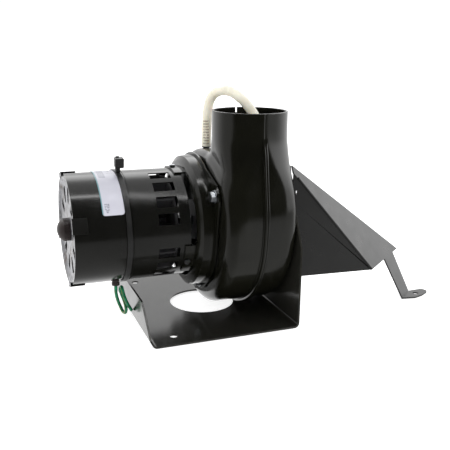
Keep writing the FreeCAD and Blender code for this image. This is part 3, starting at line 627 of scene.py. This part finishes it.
def housing_half(name, node, points, quads, side):
    """One pressed half: the skin on its side of the seam, given its sheet thickness."""
    mesh = bpy.data.meshes.new(name)
    mesh.from_pydata((points * MM).tolist(), [], quads.tolist())
    right = side < 0
    eye = INLET_EYE_R if right else SHAFT_EYE_R
    wall_x = 49.0 * MM if right else -3.0 * MM
    with editing(mesh) as work:
        split(work, (0, 0, NECK_TOP), (0, 0, 1), True)
        split(work, (SEAM_X, 0, 0), (side, 0, 0), True)
        split(work, (SEAM_X - side * NOTCH_HALF, 0, 0), (1, 0, 0))
        split(work, (0, 0, NECK_TOP - NOTCH_DEEP), (0, 0, 1))
        doomed = []
        for face in work.faces:
            centre = face.calc_center_median()
            beyond = centre.x > wall_x if right else centre.x < wall_x
            notch = (abs(centre.x - SEAM_X) < NOTCH_HALF and -15.0 * MM < centre.y < 0.0
                     and centre.z > NECK_TOP - NOTCH_DEEP)
            if notch or beyond and math.hypot(centre.y, centre.z - AXIS_Z) < eye:
                doomed.append(face)
        bmesh.ops.delete(work, geom=doomed, context="FACES")
        bmesh.ops.recalc_face_normals(work, faces=work.faces)
    mesh.shade_smooth()
    piece = add_piece(name, mesh, ENAMEL, body_of_node(node))
    sheet = piece.modifiers.new("sheet", "SOLIDIFY")
    sheet.thickness = SHEET
    sheet.offset = -1.0
    sheet.use_even_offset = True
    return piece


def seam_rib(name, node, house, x_near, x_far):
    """The proud lap of one half: a rounded ridge that runs round the snail."""
    first, last = 101.0, 408.0
    steps = 260
    height = 2.9
    taper = 0.022      # share of the rib's length over which each end sinks into the skin
    wide = x_far - x_near
    profile = [(x_near, -0.6), (x_near, height - 0.25), (x_near + 0.25 * wide, height),
               (x_near + 0.7 * wide, height), (x_far, height - 0.45), (x_far, 0.5),
               (x_far + 0.35 * wide, 0.05), (x_far + 0.35 * wide, -0.6)]
    points, faces = [], []
    count = len(profile)
    for i in range(steps + 1):
        t = i / steps
        deg = first + (last - first) * t
        radius = house.outline(deg)
        fade = float(smooth_step(np.array(min(t, 1 - t) / taper)))
        a = math.radians(deg)
        for x, rise in profile:
            r = radius + (rise * fade if rise > 0 else rise)
            points.append((x * MM, -r * math.cos(a) * MM, AXIS_Z + r * math.sin(a) * MM))
    for i in range(steps):
        for j in range(count):
            k = (j + 1) % count
            faces.append((i * count + j, i * count + k, (i + 1) * count + k,
                          (i + 1) * count + j))
    faces.append(tuple(range(count)))
    faces.append(tuple(steps * count + j for j in reversed(range(count))))
    mesh = bpy.data.meshes.new(name)
    mesh.from_pydata(points, [], faces)
    with editing(mesh) as work:
        bmesh.ops.recalc_face_normals(work, faces=work.faces)
    mesh.shade_smooth()
    mesh.set_sharp_from_angle(angle=math.radians(50.0))
    add_piece(name, mesh, ENAMEL, body_of_node(node))


def make_housing():
    house = Housing()
    margin = 2.5
    low = (house.x0 - margin, -77.0, 0.5)
    high = (house.x1 + margin, 68.0, 165.0)
    cell = 1.2
    points, quads = surface_net(house.field, low, high, cell)
    points = house.pull(points)
    left = housing_half("housing_left_skin", "housing_left_half", points, quads, 1)
    right = housing_half("housing_right_skin", "housing_right_half", points, quads, -1)
    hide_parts("housing_left_half")
    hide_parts("housing_right_half")
    seam = house.seam
    seam_rib("seam_rib_left", "housing_left_half", house, seam - 0.12, seam - 1.7)
    seam_rib("seam_rib_right", "housing_right_half", house, seam + 0.12, seam + 1.7)


# ---- the rest ------------------------------------------------------------------------------
def make_parts():
    bevels = {"base_bracket": 0.35, "side_shield": 0.25, "motor_shell": 0.12,
              "adapter_plate": 0.2, "rear_end_shield": 0.12, "inlet_ring": 0.2,
              "adapter_screws": 0.15, "shield_screws": 0.15, "inlet_screws": 0.15,
              "tab_screws": 0.15, "hose_barb": 0.3}
    for node, material in CAD_LOOKS.items():
        refine(node, material, bevels.get(node, 0.0) * MM)


# ---- light and floor -----------------------------------------------------------------------
TO_CAMERA = (-0.3595, -0.9331, 0.0)
TO_RIGHT = (0.9331, -0.3595, 0.0)
DARK_CARD = (-0.326, -0.846, 0.42)


def tent_material():
    """What gloss sees: dark room in front, dim table, white backdrop, softboxes above."""
    m = Nodes("tent")
    room, backdrop, softbox_extra, side_card, roof, strip_light = 0.5, 1.25, 2.0, 2.3, 1.0, 12.0
    table_top, table_edge = -0.262, -0.235

    def dot(vector):
        node = m.tree.nodes.new("ShaderNodeVectorMath")
        node.operation = "DOT_PRODUCT"
        m.link(unit.outputs["Vector"], node.inputs[0])
        node.inputs[1].default_value = vector
        return node.outputs["Value"]

    def step(value, start, end, low=0.0, high=1.0):
        node = m.tree.nodes.new("ShaderNodeMapRange")
        node.interpolation_type = "SMOOTHSTEP"
        for name, number in (("From Min", start), ("From Max", end), ("To Min", low),
                             ("To Max", high)):
            node.inputs[name].default_value = number
        m.link(value, node.inputs["Value"])
        return node.outputs["Result"]

    def blend(factor, low, high):
        """low where the factor is 0, high where it is 1."""
        return m.math("ADD", m.math("MULTIPLY", m.math("SUBTRACT", 1.0, factor), low),
                      m.math("MULTIPLY", factor, high))

    unit = m.tree.nodes.new("ShaderNodeVectorMath")
    unit.operation = "NORMALIZE"
    m.link(m.coords.outputs["Object"], unit.inputs[0])
    x, y, z = m.xyz(unit.outputs["Vector"])
    front, right, card = dot(TO_CAMERA), dot(TO_RIGHT), dot(DARK_CARD)
    table = m.math("ADD", m.math("MULTIPLY_ADD", front, -0.24, 0.52),
                   step(right, 0.45, 0.8, 0.0, 0.3))
    table = m.math("ADD", table, step(front, -0.2, -0.75, 0.0, 0.8))
    back = step(front, 0.2, -0.5)
    softbox = m.math("MULTIPLY", step(z, 0.36, 0.55), step(z, 0.86, 0.7))
    wall = blend(back, room, m.math("MULTIPLY_ADD", softbox, softbox_extra, backdrop))
    beside = m.math("MULTIPLY", step(right, 0.5, 0.85), step(z, -0.1, 0.2))
    wall = blend(beside, wall, side_card)
    wall = blend(step(z, 0.8, 0.9), wall, roof)
    wall = blend(step(card, 0.50, 0.58), wall, 0.0)
    over = m.math("ARCTAN2", z, m.math("MULTIPLY", y, -1.0))
    tilt = m.math("MULTIPLY", step(x, 0.10, 0.34, 1.0, -1.0), 0.18)
    over = m.math("SUBTRACT", over, tilt)
    strip = m.math("MULTIPLY", step(over, 1.17, 1.21), step(over, 1.28, 1.24))
    strip = m.math("MULTIPLY", strip, step(z, 0.5, 0.7))
    wall = blend(strip, wall, strip_light)
    light = blend(step(z, table_edge, table_top), wall, table)
    glow = m.tree.nodes.new("ShaderNodeEmission")
    m.link(light, glow.inputs["Strength"])
    output = m.tree.nodes["Material Output"]
    m.link(glow.outputs["Emission"], output.inputs["Surface"])
    return m.material


def make_tent():
    """A far shell that only reflections see, so that the white floor stays plain."""
    mesh = bpy.data.meshes.new("tent")
    with editing(mesh) as work:
        bmesh.ops.create_icosphere(work, subdivisions=4, radius=2.2)
    mesh.materials.append(tent_material())
    tent = bpy.data.objects.new("tent", mesh)
    tent.location = (0.0, 0.0, 0.08)
    tent.visible_camera = False
    tent.visible_diffuse = False
    tent.visible_shadow = False
    tent.visible_transmission = False
    bpy.context.scene.collection.objects.link(tent)


def make_studio():
    scene = bpy.context.scene
    scene.view_settings.view_transform = "Standard"
    world = bpy.data.worlds.new("studio")
    world.use_nodes = True
    world.node_tree.nodes["Background"].inputs["Color"].default_value = (1.0, 1.0, 1.0, 1.0)
    world.node_tree.nodes["Background"].inputs["Strength"].default_value = 1.05
    scene.world = world
    mesh = bpy.data.meshes.new("floor")
    reach, level = 3.0, -0.0006
    corners = [(-reach, -reach), (reach, -reach), (reach, reach), (-reach, reach)]
    mesh.from_pydata([(x, y, level) for x, y in corners], [], [(0, 1, 2, 3)])
    m = Nodes("pale_floor")
    m.link(m.ramp(m.noise(3.0), [(0.3, (0.93, 0.93, 0.93)), (0.7, (0.95, 0.95, 0.95))]),
           m.shader.inputs["Base Color"])
    m.set(Roughness=0.9, Specular_IOR_Level=0.1, Emission_Color=(1.0, 1.0, 1.0),
          Emission_Strength=0.8)
    mesh.materials.append(m.material)
    floor = bpy.data.objects.new("floor", mesh)
    floor.visible_glossy = False
    scene.collection.objects.link(floor)
    make_tent()


make_camera()
make_cords()
make_housing()
make_parts()
make_studio()
